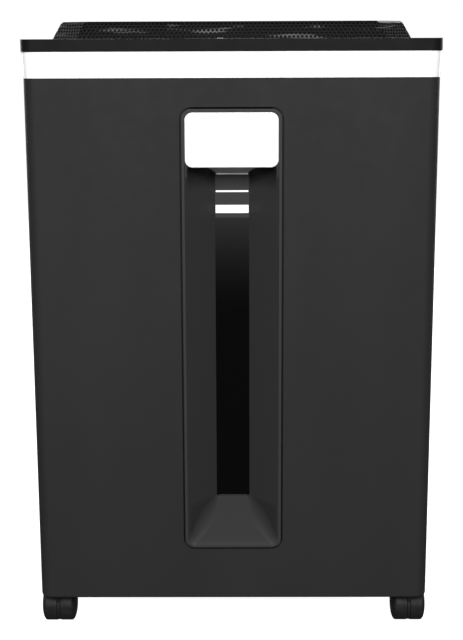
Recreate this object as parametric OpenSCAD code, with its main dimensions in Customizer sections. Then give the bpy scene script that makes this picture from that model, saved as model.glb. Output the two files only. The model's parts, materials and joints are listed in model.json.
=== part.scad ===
/* [Overall] */
// Width of the top rim, the widest piece
rim_w = 426.6; // [420:0.1:470]
// Depth of the top rim, front to back
rim_d = 360; // [350:1:390]
// Plan radius of the vertical corners
corner_r = 12; // [8:1:25]

/* [Heights] */
// Underside of the cabinet above the floor
cab_z0 = 41.4; // [41:0.1:46]
// Top edge of the cabinet and of the bin front
cab_z1 = 600.8; // [596:0.1:604]
// Underside of the top cover
rim_z0 = 627.5; // [625:0.5:630]
// Top face of the top cover
rim_z1 = 640; // [637:0.5:643]
// Top of the perforated paper lid
lid_top = 657.6; // [654:0.1:664]

/* [Bin front] */
// Width of the long recess in the bin front
recess_w = 106.8; // [96:0.2:116]
// Bottom end of the recess
recess_z0 = 98; // [90:1:104]
// Top end of the recess
recess_z1 = 572.1; // [566:0.1:574]
// Depth of the recess at the window
recess_deep = 38; // [30:0.5:39]
// Width of the window
window_w = 36; // [28:0.5:40]

/* [Cutters] */
// Number of discs on the front cutter shaft
disc_count = 20; // [14:1:20]
// Outside radius of a cutter disc
disc_r = 23; // [22:0.1:23.4]
// Distance between the two cutter shafts
shaft_gap = 40; // [40:1:40]

/* [Casters] */
// Radius of a caster wheel
wheel_r = 19.5; // [17:0.25:19.5]
// Distance of the caster wheels ahead of their stem
trail = 12; // [9:0.5:14]

/* [Hidden] */

eps = 0.01;
arc_fn = 32;
bore_fn = 64;
wall = 3;

// Cabinet outline: half sizes at the bottom and at the top, so that the sides have a slight draft
bot_x = rim_w / 2 - 2.5;
bot_y = rim_d / 2 - 2.5;
top_x = rim_w / 2 - 1.7;
top_y = rim_d / 2 - 1.7;
foot_round = 3;
seam_y = -149.7;
seam_gap = 0.6;
draft = atan((top_y - bot_y) / (cab_z1 - cab_z0));

// Recess in the bin front, measured along the face from its bottom edge
rec_lo = recess_z0 - cab_z0;
rec_hi = recess_z1 - cab_z0;
rec_r = 12.5;
groove = 1.6;
lip = 3.6;
win_lo = 146 - cab_z0;
win_hi = 454.7 - cab_z0;
step_1 = 481.6 - cab_z0;
floor_hi = 501.7 - cab_z0;
pocket_hi = 553 - cab_z0;
slope_hi = 518 - cab_z0;
plate_lo = 510.9 - cab_z0;
plate_hi = 566.8 - cab_z0;

// Cutter block
disc_pitch = 12;
disc_t = 5.6;
spacer_r = 15;
nip_y = -60;
cut_z = 545;
front_y = nip_y - shaft_gap / 2;
rear_y = nip_y + shaft_gap / 2;
shaft_r = 9;
bush_r = 13;
run_gap = 0.05;
plate_x = disc_pitch * disc_count / 2 - 1;
plate_t = 4;
deck_z = 496;
deck_t = 3;
deck_x = top_x - 3.7;
rod_r = 4;
bar_half = 6;
rod_y = [front_y - 30, rear_y + 30];
rod_z = [cut_z - 12, cut_z + 12];

// Gear train: module and tooth numbers
gear_m = 2;
cut_teeth = 20;
drive_teeth = 42;
small_teeth = 12;
fine_m = 1.5;
big_teeth = 48;
motor_teeth = 12;
gear_x = plate_x + plate_t + 4;
gear_t = 10;
drive_x = gear_x + gear_t + 3;
fine_x = drive_x + gear_t + 2;
red_y = rear_y + gear_m * (drive_teeth + small_teeth) / 2;
motor_y = red_y + fine_m * (big_teeth + motor_teeth) / 2;
motor_r = 32;
feed_dir = 63.4;
feed_y = rear_y + gear_m * cut_teeth * cos(feed_dir);
feed_z = cut_z + gear_m * cut_teeth * sin(feed_dir);
feed_shaft_r = 4;
roller_r = 15;
axle_r = 4;

// Feed tray and lid
tray_x = 116;
tray_y0 = -128;
tray_y1 = 160;
tray_z = 591.5;
slot_y0 = -157;
slot_y1 = -148;
hinge_y = 171;
hinge_z = 646;
pin_r = 2.5;
hood_x = 188.2;
hood_y0 = -140;
hood_y1 = 163;
hood_slope = 9.1;
hood_chamfer = 28;
sheet = 1.2;
post_xy = [[-60, -95], [60, -95], [-60, 20], [60, 20]];
press_z = 606;
guide_h = 4;
light_x = -14.4;
light_w = 6.5;
screw_spots = [[-180, 70], [180, 70], [-180, 470], [-66, 470], [66, 470], [180, 470]];

// Casters: stem places and socket
stem_x = 195;
stem_y = [-126, 140];
stem_r = 4;
axle_pin_r = 2.5;
hub_x = 1.5;
caster_top = cab_z0 - 0.5;
stem_len = 14;
nose_y = -34;
nose_z = 27.5;
nose_x = 6;
tread_x = 13.7;
wheel_x = 18.8;

// ---------- outlines ----------

module round_rect(w, d, r) {
    square([w - 2 * r, d], center = true);
    square([w, d - 2 * r], center = true);
    for (sx = [-1, 1], sy = [-1, 1])
        translate([sx * (w / 2 - r), sy * (d / 2 - r)])
            circle(r = r, $fn = bore_fn);
}

module slab(hx, hy, r, z) {
    translate([0, 0, z])
        linear_extrude(eps)
            for (sx = [-1, 1], sy = [-1, 1])
                translate([sx * (hx - r), sy * (hy - r)])
                    circle(r = r, $fn = arc_fn);
}

// Half size of the cabinet at height z, grown by g
function half_x(z, g = 0) = bot_x + (top_x - bot_x) * (z - cab_z0) / (cab_z1 - cab_z0) + g;
function half_y(z, g = 0) = bot_y + (top_y - bot_y) * (z - cab_z0) / (cab_z1 - cab_z0) + g;

module cabinet_outer() {
    hull() {
        slab(half_x(cab_z0, -1.8), half_y(cab_z0, -1.8), corner_r - 1.8, cab_z0);
        slab(half_x(cab_z0, -0.5), half_y(cab_z0, -0.5), corner_r - 0.5, cab_z0 + 1.1);
        slab(half_x(cab_z0 + foot_round), half_y(cab_z0 + foot_round), corner_r, cab_z0 + foot_round);
        slab(top_x, top_y, corner_r, cab_z1 - eps);
    }
}

module cabinet_inner(z0, z1) {
    hull() {
        slab(half_x(z0, -wall), half_y(z0, -wall), corner_r - wall, z0);
        slab(half_x(z1, -wall), half_y(z1, -wall), corner_r - wall, z1);
    }
}

// Places a shape on the drafted front face: x across, z up along the face, y into the cabinet
module on_front() {
    translate([0, -bot_y, cab_z0])
        rotate([draft, 0, 0])
            children();
}

// A rounded rectangle standing on the front face, between two depths
module face_panel(hx, lo, hi, r, y0, y1) {
    translate([0, y1, (lo + hi) / 2])
        rotate([90, 0, 0])
            linear_extrude(y1 - y0)
                round_rect(2 * hx, hi - lo, r);
}

// A sharp-cornered slab on the front face at one depth, for the funnel hulls
module face_slab(hx, lo, hi, y) {
    translate([-hx, y, lo])
        cube([2 * hx, eps, hi - lo]);
}

module x_cylinder(r, x0, x1, y, z) {
    translate([x0, y, z])
        rotate([0, 90, 0])
            cylinder(r = r, h = x1 - x0, $fn = bore_fn);
}

// A closed outline in the YZ plane, extruded along X
module x_profile(points, x0, x1) {
    translate([x0, 0, 0])
        rotate([90, 0, 90])
            linear_extrude(x1 - x0)
                polygon(points);
}

// ---------- gears and discs ----------

function involute(a) = tan(a) * 180 / PI - a;
// Half of the angle that a tooth fills at radius r
function tooth_half(r, rp, n) = let(rb = rp * cos(20), a = acos(min(1, rb / max(r, rb))))
    90 / n * 0.88 + involute(20) - involute(a);

function gear_points(m, n, phase) = let(rp = m * n / 2, ro = rp + 0.85 * m, rr = rp - 1.25 * m, rb = rp * cos(20),
    radii = [max(rr + 0.3 * m, rb), rp - 0.3 * m, rp, rp + 0.5 * m, ro])
    [for (i = [0 : n - 1]) let(c = i * 360 / n + phase) each concat(
        [[rr, c - tooth_half(radii[0], rp, n) - 12 / n]],
        [for (r = radii) [r, c - tooth_half(r, rp, n)]],
        [for (k = [4 : -1 : 0]) [radii[k], c + tooth_half(radii[k], rp, n)]],
        [[rr, c + tooth_half(radii[0], rp, n) + 12 / n]])];

// A spur gear on an axis along X; a tooth points along the angle phase, measured from +Y towards +Z
module spur(m, n, phase, x0, t, y, z, bore) {
    translate([x0, y, z])
        rotate([90, 0, 90])
            linear_extrude(t)
                difference() {
                    polygon([for (p = gear_points(m, n, phase)) [p[0] * cos(p[1]), p[0] * sin(p[1])]]);
                    circle(r = bore, $fn = bore_fn);
                }
}

hooks = 8;
function disc_points(phase) = [for (i = [0 : hooks - 1]) let(c = phase + i * 360 / hooks)
    each [[disc_r, c], [disc_r - 2.6, c + 6], [disc_r - 1.2, c + 30]]];

module discs(count, y, turn, hand) {
    first = -disc_pitch * (count - 1) / 2;
    for (i = [0 : count - 1])
        translate([first + i * disc_pitch - disc_t / 2, y, cut_z])
            rotate([90, 0, 90])
                linear_extrude(disc_t)
                    difference() {
                        polygon([for (p = disc_points(turn + i * 9))
                            [p[0] * cos(hand * p[1]), p[0] * sin(hand * p[1])]]);
                        circle(r = shaft_r, $fn = bore_fn);
                    }
    // Spacer rings between the discs
    for (i = [0 : count - 2])
        translate([first + i * disc_pitch + disc_t / 2, y, cut_z])
            rotate([0, 90, 0])
                difference() {
                    cylinder(r = spacer_r, h = disc_pitch - disc_t, $fn = bore_fn);
                    translate([0, 0, -1])
                        cylinder(r = shaft_r, h = disc_pitch, $fn = bore_fn);
                }
}

// ---------- chassis ----------

module cabinet_shell() {
    color("#303032")
        difference() {
            cabinet_outer();
            cabinet_inner(cab_z0 + wall, cab_z1 + 5);
            // Everything ahead of the seam belongs to the bin front
            translate([-rim_w, seam_y + seam_gap - 200, 0])
                cube([2 * rim_w, 200, 700]);
            // Stem holes in the floor
            for (sx = [-1, 1], y = stem_y)
                translate([sx * stem_x, y, cab_z0 - 1])
                    cylinder(r = 9, h = 10, $fn = bore_fn);
            // Mains inlet and switch, and the vent, through the back wall
            translate([-166, 150, 500])
                cube([32, 40, 76]);
            translate([50, 150, 508])
                cube([110, 40, 64]);
            at_screws()
                translate([0, 0, -10])
                    cylinder(r = 1.9, h = 20, $fn = bore_fn);
        }
}

module base_plate() {
    color("#4a4c50")
        difference() {
            union() {
                translate([0, 2, cab_z0 + wall])
                    linear_extrude(4)
                        round_rect(404, 296, 14);
                for (sx = [-1, 1], y = stem_y)
                    translate([sx * stem_x, y, cab_z0 + wall])
                        cylinder(r = 10, h = 12, $fn = bore_fn);
                for (y = [-60, 0, 60])
                    translate([-140, y - 1.5, cab_z0 + wall + 4])
                        cube([280, 3, 5]);
            }
            for (sx = [-1, 1], y = stem_y)
                translate([sx * stem_x, y, cab_z0])
                    cylinder(r = stem_r + run_gap, h = 23, $fn = bore_fn);
        }
}

rail_z0 = cab_z0 + wall + 4;
tub_z0 = rail_z0 + 9.3;
module bin_rails() {
    color("#b8babd")
        for (sx = [-1, 1]) {
            translate([sx * 160 - 10, -140, rail_z0])
                cube([20, 280, 9]);
            translate([sx * 171.5 - 1.5, -112, rail_z0])
                cube([3, 236, 9]);
        }
}

module mechanism_deck() {
    color("#9a9da1")
        difference() {
            union() {
                translate([-deck_x, -122, deck_z])
                    cube([2 * deck_x, 290, deck_t]);
                for (sx = [-1, 1])
                    translate([sx * (deck_x - 2.9) - 1, -122, deck_z - 14])
                        cube([2, 290, 14]);
            }
            // Discharge opening under the cutters
            translate([-plate_x + 2, front_y - 22, deck_z - 1])
                cube([2 * plate_x - 4, shaft_gap + 44, deck_t + 2]);
            // Rear corners clear the rounded cabinet corners
            for (sx = [-1, 1])
                translate([sx * (deck_x - 1.9), 168, deck_z - 15])
                    cylinder(r = 12, h = 20, $fn = bore_fn);
        }
}

module head_band() {
    color("#f4f4f2")
        difference() {
            hull() {
                slab(top_x, top_y, corner_r, cab_z1 + 0.5);
                slab(rim_w / 2 - 0.7, rim_d / 2 - 0.7, corner_r, rim_z0 - eps);
            }
            translate([0, 0, cab_z1 - 1])
                linear_extrude(rim_z0 - cab_z1 + 3)
                    round_rect(2 * top_x - 2 * wall, 2 * top_y - 2 * wall, corner_r - wall);
        }
}

module top_cover() {
    color("#262628")
        difference() {
            union() {
                translate([0, 0, rim_z0])
                    linear_extrude(rim_z1 - rim_z0)
                        round_rect(rim_w, rim_d, corner_r);
                // Hinge ears at the back
                for (sx = [-1, 1], dx = [-9, 5])
                    translate([sx * 130 + dx, hinge_y - 5, rim_z1 - 1])
                        cube([4, 10, 7]);
                for (sx = [-1, 1], dx = [-9, 5])
                    x_cylinder(5, sx * 130 + dx, sx * 130 + dx + 4, hinge_y, hinge_z);
            }
            // Hollow underside
            translate([0, 0, rim_z0 - 1])
                linear_extrude(rim_z1 - rim_z0 - 2.5)
                    round_rect(rim_w - 2 * wall, rim_d - 2 * wall, corner_r - wall);
            // Tray well
            translate([-tray_x - 2, tray_y0 - 2, rim_z0 - 2])
                cube([2 * tray_x + 4, tray_y1 - tray_y0 + 4, 20]);
            // Single-sheet slot
            translate([-tray_x, slot_y0, rim_z0 - 2])
                cube([2 * tray_x, slot_y1 - slot_y0, 20]);
            // Holes of the hinge pins
            for (sx = [-1, 1])
                x_cylinder(pin_r, sx * 130 - 12, sx * 130 + 12, hinge_y, hinge_z);
            // Button wells in the front ledge
            for (x = [176, 192])
                translate([x, -160, rim_z0])
                    cylinder(r = 5.4, h = 20, $fn = bore_fn);
            // Light pipe hole
            translate([light_x - 0.15, -172.1, rim_z0])
                cube([light_w + 0.3, 2.2, 20]);
        }
}

module feed_tray() {
    color("#3a3b3e")
        difference() {
            translate([-tray_x - 1.8, tray_y0 - 1.8, tray_z])
                cube([2 * tray_x + 3.6, tray_y1 - tray_y0 + 3.6, rim_z1 - 2.6 - tray_z]);
            translate([-tray_x, tray_y0, tray_z + 2])
                cube([2 * tray_x, tray_y1 - tray_y0, 60]);
            // Feed gap over the cutters
            translate([-tray_x + 4, nip_y - 12, tray_z - 1])
                cube([2 * tray_x - 8, 20, 5]);
            // Windows for the feed rollers
            for (x = [-45, 45])
                translate([x - 16, feed_y - 14, tray_z - 1])
                    cube([32, 28, 5]);
        }
}

// Sheet-metal chute leading a single sheet to the cutters: two bent plates
function strip(c, t) = concat([for (p = c) [p[0], p[1]]],
    [for (i = [len(c) - 1 : -1 : 0]) [c[i][0] + t[0], c[i][1] + t[1]]]);
module throat_guide() {
    front_line = [[-158.5, 634], [-158.5, 624], [-146.5, 604], [-144.5, 586], [-120, 572], [-74, 571]];
    rear_line = [[-147.8, 634], [-147.8, 624], [-138, 606], [-134.5, 590], [-112, 579], [-66, 576]];
    color("#8e9196") {
        x_profile(strip(front_line, [1.4, 1.0]), -tray_x, tray_x);
        x_profile(strip(rear_line, [1.4, 1.0]), -tray_x, tray_x);
    }
}

module side_plate(x0) {
    difference() {
        union() {
            translate([x0, front_y - 38, deck_z + deck_t])
                cube([plate_t, shaft_gap + 76, 76]);
            translate([x0, feed_y - 16, cut_z])
                cube([plate_t, 32, 54]);
        }
        for (y = [front_y, rear_y])
            x_cylinder(bush_r, x0 - 1, x0 + plate_t + 1, y, cut_z);
        x_cylinder(7, x0 - 1, x0 + plate_t + 1, feed_y, feed_z);
        for (y = rod_y, z = rod_z)
            x_cylinder(rod_r, x0 - 1, x0 + plate_t + 1, y, z);
    }
}
module side_plate_left() {
    color("#a6a9ad")
        side_plate(-plate_x - plate_t);
}
module side_plate_right() {
    color("#a6a9ad")
        side_plate(plate_x);
}

module tie_rods() {
    color("#c4c6c9")
        for (y = rod_y, z = rod_z) {
            x_cylinder(rod_r, -plate_x - plate_t, plate_x + plate_t, y, z);
            for (x = [-plate_x - plate_t - 3.6, plate_x + plate_t])
                translate([x, y, z])
                    rotate([0, 90, 0])
                        cylinder(r = 6.5, h = 3.6, $fn = 6);
        }
}

module bush(x0, y, z, r_out, r_in) {
    difference() {
        x_cylinder(r_out, x0, x0 + plate_t, y, z);
        x_cylinder(r_in, x0 - 1, x0 + plate_t + 1, y, z);
    }
}
module shaft_bearings() {
    color("#b88a4a")
        for (x = [-plate_x - plate_t, plate_x]) {
            for (y = [front_y, rear_y])
                bush(x, y, cut_z, bush_r, shaft_r + run_gap);
            bush(x, feed_y, feed_z, 7, feed_shaft_r + run_gap);
        }
}

// Stationary fingers that reach between the discs and clear them; side is -1 in front, 1 behind
module comb(axis_y, side, count, bar_y) {
    first = -disc_pitch * (count - 1) / 2;
    difference() {
        union() {
            translate([-plate_x, bar_y - bar_half, cut_z - 18])
                cube([2 * plate_x, 2 * bar_half, 36]);
            for (i = [0 : count - 2])
                translate([first + (i + 0.5) * disc_pitch - 2.7, min(axis_y, bar_y - side * bar_half), cut_z - 13])
                    cube([5.4, abs(bar_y - axis_y) - bar_half, 26]);
        }
        x_cylinder(spacer_r + 0.6, -plate_x - 1, plate_x + 1, axis_y, cut_z);
        for (z = rod_z)
            x_cylinder(rod_r, -plate_x - 1, plate_x + 1, bar_y, z);
    }
}
module comb_front() {
    color("#7d8085")
        comb(front_y, -1, disc_count, rod_y[0]);
}
module comb_rear() {
    color("#7d8085")
        comb(rear_y, 1, disc_count - 1, rod_y[1]);
}

motor_x0 = 8;
bracket_x = 116;
module motor_can() {
    color("#55585c") {
        difference() {
            x_cylinder(motor_r, motor_x0, bracket_x, motor_y, cut_z);
            x_cylinder(3.1, motor_x0 + 20, bracket_x + 1, motor_y, cut_z);
            // Cooling slots round the back end
            for (a = [0 : 45 : 315])
                translate([motor_x0 - 1, motor_y, cut_z])
                    rotate([a, 0, 0])
                        translate([0, -2, motor_r - 9])
                            cube([14, 4, 6]);
        }
        translate([motor_x0 + 22, motor_y - 12, deck_z + deck_t])
            cube([70, 24, cut_z - motor_r - deck_z - deck_t + 3]);
    }
}

module motor_bracket() {
    color("#a6a9ad") {
        difference() {
            union() {
                translate([bracket_x, 12, deck_z + deck_t])
                    cube([6, 88, 86]);
                translate([bracket_x - 30, 12, deck_z + deck_t])
                    cube([30, 10, 3]);
                x_cylinder(9, bracket_x + 6, drive_x - 2, red_y, cut_z);
            }
            x_cylinder(7, bracket_x - 1, bracket_x + 7, motor_y, cut_z);
        }
        // Fixed axle of the reduction gear
        x_cylinder(axle_r, drive_x - 2, fine_x + gear_t + 2, red_y, cut_z);
    }
}

cover_x = 166;
module gear_cover() {
    color("#2e2f31")
        difference() {
            translate([cover_x - 22, -106, deck_z + deck_t])
                cube([24, 190, 94]);
            translate([cover_x - 23, -104, deck_z + deck_t - 1])
                cube([23, 186, 93]);
            for (z = [530 : 10 : 560])
                translate([cover_x - 1, -90, z])
                    cube([4, 30, 3]);
        }
}

inlet_x = -150;
back_y = half_y(530);
module power_inlet() {
    color("#202022")
        difference() {
            union() {
                translate([inlet_x - 15, 152, 502])
                    cube([30, back_y - 151.5, 72]);
                translate([inlet_x - 22, back_y + 0.1, 496])
                    cube([44, 1.6, 84]);
            }
            // Socket well
            translate([inlet_x - 12.5, 158, 508])
                cube([25, 30, 17]);
            // Well of the rocker switch and the bearings of its pivot
            translate([inlet_x - 8, 164, 541.5])
                cube([16, 30, 25]);
            x_cylinder(pivot_r + run_gap, inlet_x - 10.5, inlet_x + 10.5, rocker_y, rocker_z);
        }
    // Three contact blades in the socket
    color("#c9b46a")
        for (p = [[-7, 513.5], [0, 518], [7, 513.5]])
            translate([inlet_x + p[0] - 1, 157, p[1] - 2])
                cube([2, 14, 4]);
}

rocker_y = 172;
rocker_z = 554;
pivot_r = 1.5;
module power_rocker() {
    color("#b02a24") {
        x_profile([[rocker_y - 4, rocker_z - 6], [rocker_y + 1, rocker_z - 11.5], [rocker_y + 4.6, rocker_z - 11],
            [rocker_y + 4.2, rocker_z], [rocker_y + 6.4, rocker_z + 10], [rocker_y + 3, rocker_z + 11.5],
            [rocker_y - 4, rocker_z + 6]], inlet_x - 7.2, inlet_x + 7.2);
        x_cylinder(pivot_r, inlet_x - 10, inlet_x + 10, rocker_y, rocker_z);
    }
}

module power_board() {
    color("#2f6b3a")
        translate([-196, -10, deck_z + deck_t + 6])
            cube([66, 140, 1.6]);
    color("#1f2937") {
        for (y = [5, 30])
            translate([-184, y, deck_z + deck_t + 7.6])
                cylinder(r = 9, h = 28, $fn = bore_fn);
        translate([-168, 50, deck_z + deck_t + 7.6])
            cube([32, 36, 26]);
        translate([-190, 96, deck_z + deck_t + 7.6])
            cube([19, 16, 15]);
        translate([-160, 0, deck_z + deck_t + 7.6])
            cube([3, 40, 24]);
    }
    // Standoffs
    color("#c9cbd0")
        for (x = [-190, -136], y = [-4, 124])
            translate([x, y, deck_z + deck_t])
                cylinder(r = 3, h = 6, $fn = bore_fn);
}

module control_board() {
    color("#2f6b3a")
        translate([130, -170, rim_z0 - 8])
            cube([70, 22, 1.6]);
    color("#1f2937") {
        for (x = [176, 192])
            translate([x - 3, -163, rim_z0 - 6.4])
                cube([6, 6, 4]);
        translate([138, -166, rim_z0 - 6.4])
            cube([20, 12, 2]);
    }
}

module button(x) {
    translate([x, -160, rim_z0 + 0.6])
        cylinder(r = 5, h = rim_z1 - rim_z0 - 0.8, $fn = bore_fn);
    translate([x, -160, rim_z0 + 0.6])
        cylinder(r = 6.6, h = 1.4, $fn = bore_fn);
}
module auto_button() {
    color("#3c3e42")
        button(176);
}
module reverse_button() {
    color("#3c3e42")
        button(192);
}

module status_light() {
    color("#e8eef2")
        translate([light_x, -172, rim_z0 + 2])
            cube([light_w, 1.8, rim_z1 - rim_z0 - 2 + 0.8]);
}

module paper_sensor() {
    color("#242528") {
        translate([-9, -128, 556])
            cube([18, 12, 11]);
        translate([-4, -128, 566])
            cube([8, 10, 4.5]);
    }
}

module bin_switch() {
    color("#242528") {
        translate([-104, 144, deck_z - 14])
            cube([24, 10, 14]);
        translate([-96, 146.5, deck_z - 15.4])
            cube([5, 5, 1.4]);
    }
}

module lid_hinge_pins() {
    color("#c4c6c9")
        for (sx = [-1, 1])
            x_cylinder(pin_r, sx * 130 - 10, sx * 130 + 10, hinge_y, hinge_z);
}

// Places a shape at each screw of the back wall, with its axis pointing out of the cabinet
module at_screws() {
    for (p = screw_spots)
        translate([p[0], half_y(p[1]), p[1]])
            rotate([-90, 0, 0])
                children();
}
module cover_screws() {
    color("#8a8d92")
        at_screws()
            difference() {
                union() {
                    translate([0, 0, 0.05])
                        cylinder(r1 = 4.5, r2 = 3.6, h = 1.35, $fn = bore_fn);
                    translate([0, 0, -14])
                        cylinder(r = 1.8, h = 14.2, $fn = bore_fn);
                }
                for (a = [0, 90])
                    rotate([0, 0, a])
                        translate([-2.2, -0.45, 0.5])
                            cube([4.4, 0.9, 2]);
            }
}

module rear_vent() {
    color("#252527")
        difference() {
            translate([46, half_y(540) - 6, 504])
                cube([118, 7.4, 72]);
            for (i = [0 : 8])
                translate([56, half_y(540) - 12, 512 + i * 6.6])
                    cube([98, 30, 3.4]);
            // The flange is wider than the part that fills the wall opening
            difference() {
                translate([40, half_y(540) - 8, 498])
                    cube([130, 8.2, 84]);
                translate([50.3, half_y(540) - 9, 508.3])
                    cube([109.4, 12, 63.4]);
            }
        }
}

// ---------- lid ----------

function lid_outline(hx, y0, y1, c) = [[-hx + c, y0], [hx - c, y0], [hx, y0 + c], [hx, y1 - c / 2],
    [hx - c / 2, y1], [-hx + c / 2, y1], [-hx, y1 - c / 2], [-hx, y0 + c]];

module lid_shape(g, z0, z1) {
    hull() {
        translate([0, 0, z0])
            linear_extrude(eps)
                polygon(lid_outline(hood_x - g, hood_y0 + g, hood_y1 - g, hood_chamfer));
        translate([0, 0, z1 - 2 - eps])
            linear_extrude(eps)
                polygon(lid_outline(hood_x - hood_slope + 1 - g, hood_y0 + hood_slope - 1 + g,
                    hood_y1 - 3 - g, hood_chamfer));
        translate([0, 0, z1 - eps])
            linear_extrude(eps)
                polygon(lid_outline(hood_x - hood_slope - 1.5 - g, hood_y0 + hood_slope + 1.5 + g,
                    hood_y1 - 5 - g, hood_chamfer));
    }
}

module lid_mesh() {
    color("#2b2b2d")
        difference() {
            lid_shape(0, rim_z1 + 0.4, lid_top);
            lid_shape(sheet, rim_z1 - 1, lid_top - sheet);
            // Notches for the hinge arms
            for (sx = [-1, 1])
                translate([sx * 130 - 5.4, hood_y1 - 6, rim_z1])
                    cube([10.8, 10, 3.8]);
        }
}

frame_z0 = rim_z1 + 0.6;
module lid_frame() {
    g = sheet + 2.2;
    color("#1e1e20")
        difference() {
            union() {
                translate([0, 0, frame_z0])
                    linear_extrude(2.4)
                        difference() {
                            polygon(lid_outline(hood_x - g, hood_y0 + g, hood_y1 - g, hood_chamfer));
                            polygon(lid_outline(hood_x - 15, hood_y0 + 15, hood_y1 - 14, hood_chamfer - 4));
                        }
                // Cross bars that carry the guides of the pressure plate
                for (y = [post_xy[0][1], post_xy[2][1]])
                    translate([-hood_x + 15, y - 7, frame_z0])
                        cube([2 * hood_x - 30, 14, 2.4]);
                for (p = post_xy)
                    translate([p[0], p[1], frame_z0])
                        cylinder(r = 6.5, h = guide_h, $fn = bore_fn);
                // Hinge knuckles
                for (sx = [-1, 1]) {
                    x_cylinder(4.8, sx * 130 - 4.6, sx * 130 + 4.6, hinge_y, hinge_z);
                    translate([sx * 130 - 4.6, hood_y1 - 6, frame_z0])
                        cube([9.2, hinge_y - hood_y1 + 6, 2.4]);
                }
            }
            for (sx = [-1, 1])
                x_cylinder(pin_r + run_gap, sx * 130 - 6, sx * 130 + 6, hinge_y, hinge_z);
            for (p = post_xy)
                translate([p[0], p[1], frame_z0 - 1])
                    cylinder(r = 3.05, h = 12, $fn = bore_fn);
        }
}

module pressure_plate() {
    color("#6c6f74") {
        translate([-85, -115, press_z])
            cube([170, 155, 2]);
        for (p = post_xy) {
            translate([p[0], p[1], press_z + 2])
                cylinder(r = 3, h = frame_z0 + guide_h - press_z - 2 + 0.1, $fn = bore_fn);
            translate([p[0], p[1], frame_z0 + guide_h + 0.1])
                cylinder(r = 4.4, h = 1.4, $fn = bore_fn);
        }
    }
}

module coil(r, wire, z0, z1, turns) {
    // Rings that stand for the turns of a compression spring
    for (i = [0 : turns - 1])
        translate([0, 0, z0 + wire + (z1 - z0 - 2 * wire) * i / (turns - 1)])
            rotate_extrude($fn = 24)
                translate([r, 0])
                    circle(r = wire, $fn = 16);
}
module plate_springs() {
    color("#c4c6c9")
        for (p = post_xy)
            translate([p[0], p[1], 0])
                coil(5, 0.5, press_z + 2.2, frame_z0 - 0.2, 9);
}

// ---------- cutters and drive ----------

module cutter_shaft_front() {
    color("#c4c6c9")
        x_cylinder(shaft_r, -plate_x - plate_t - 6, drive_x - 1.5, front_y, cut_z);
}
module cutter_discs_front() {
    color("#7b7f86")
        discs(disc_count, front_y, 0, -1);
}
module cutter_gear_front() {
    color("#5f6368")
        spur(gear_m, cut_teeth, 180 / cut_teeth, gear_x, gear_t, front_y, cut_z, shaft_r);
}
module cutter_shaft_rear() {
    color("#c4c6c9")
        x_cylinder(shaft_r, -plate_x - plate_t - 6, drive_x + gear_t + 1, rear_y, cut_z);
}
module cutter_discs_rear() {
    color("#7b7f86")
        discs(disc_count - 1, rear_y, 12, 1);
}
module cutter_gear_rear() {
    color("#5f6368")
        spur(gear_m, cut_teeth, 180, gear_x, gear_t, rear_y, cut_z, shaft_r);
}
module drive_gear() {
    color("#5f6368")
        spur(gear_m, drive_teeth, 0, drive_x, gear_t, rear_y, cut_z, shaft_r);
}
module reduction_gear() {
    color("#6d7177") {
        spur(gear_m, small_teeth, 180 + 180 / small_teeth, drive_x, gear_t + 2, red_y, cut_z, axle_r + run_gap);
        spur(fine_m, big_teeth, 0, fine_x, gear_t - 2, red_y, cut_z, axle_r + run_gap);
    }
}
module motor_pinion() {
    color("#c4c6c9") {
        x_cylinder(3, motor_x0 + 30, fine_x - 1, motor_y, cut_z);
        spur(fine_m, motor_teeth, 180 + 180 / motor_teeth, fine_x - 1, gear_t, motor_y, cut_z, 3);
        x_cylinder(3, fine_x - 1, fine_x + gear_t - 1, motor_y, cut_z);
    }
}
module feed_shaft() {
    color("#c4c6c9")
        x_cylinder(feed_shaft_r, -plate_x - plate_t - 2, gear_x + gear_t + 1, feed_y, feed_z);
}
module feed_rollers() {
    color("#3d4f66")
        for (x = [-45, 45])
            difference() {
                x_cylinder(roller_r, x - 13, x + 13, feed_y, feed_z);
                x_cylinder(feed_shaft_r, x - 14, x + 14, feed_y, feed_z);
                for (a = [0 : 30 : 330])
                    translate([x - 14, feed_y, feed_z])
                        rotate([a, 0, 0])
                            translate([0, -0.8, roller_r - 1.2])
                                cube([28, 1.6, 3]);
            }
}
// Turned so that a gap faces the tooth of the rear cutter gear that points along feed_dir
feed_phase = feed_dir + 180 + 180 / cut_teeth + (round((feed_dir - 180) / (360 / cut_teeth))
    * 360 / cut_teeth - (feed_dir - 180)) * -1;
module feed_gear() {
    color("#e0d9c4")
        spur(gear_m, cut_teeth, feed_phase, gear_x, gear_t, feed_y, feed_z, feed_shaft_r);
}

// ---------- bin ----------

tub_x = 194;
tub_front = -147;
notch_y = -127.5;
tub_back = 150;
tub_top = 480;
tub_t = 2.5;
module tub_outline(g) {
    polygon([[-tub_x + g, tub_front + g], [-64 - g, tub_front + g], [-64 - g, notch_y + g], [64 + g, notch_y + g],
        [64 + g, tub_front + g], [tub_x - g, tub_front + g], [tub_x - g, tub_back - g - 12],
        [tub_x - g - 12, tub_back - g], [-tub_x + g + 12, tub_back - g], [-tub_x + g, tub_back - g - 12]]);
}
module bin_tub() {
    color("#3a3b3e")
        difference() {
            translate([0, 0, tub_z0])
                linear_extrude(tub_top - tub_z0)
                    tub_outline(0);
            translate([0, 0, tub_z0 + tub_t])
                linear_extrude(tub_top)
                    tub_outline(tub_t);
            // Sight slot behind the window
            translate([-window_w / 2 + 2, notch_y - 2, 150])
                cube([window_w - 4, 8, 298]);
        }
}

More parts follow.
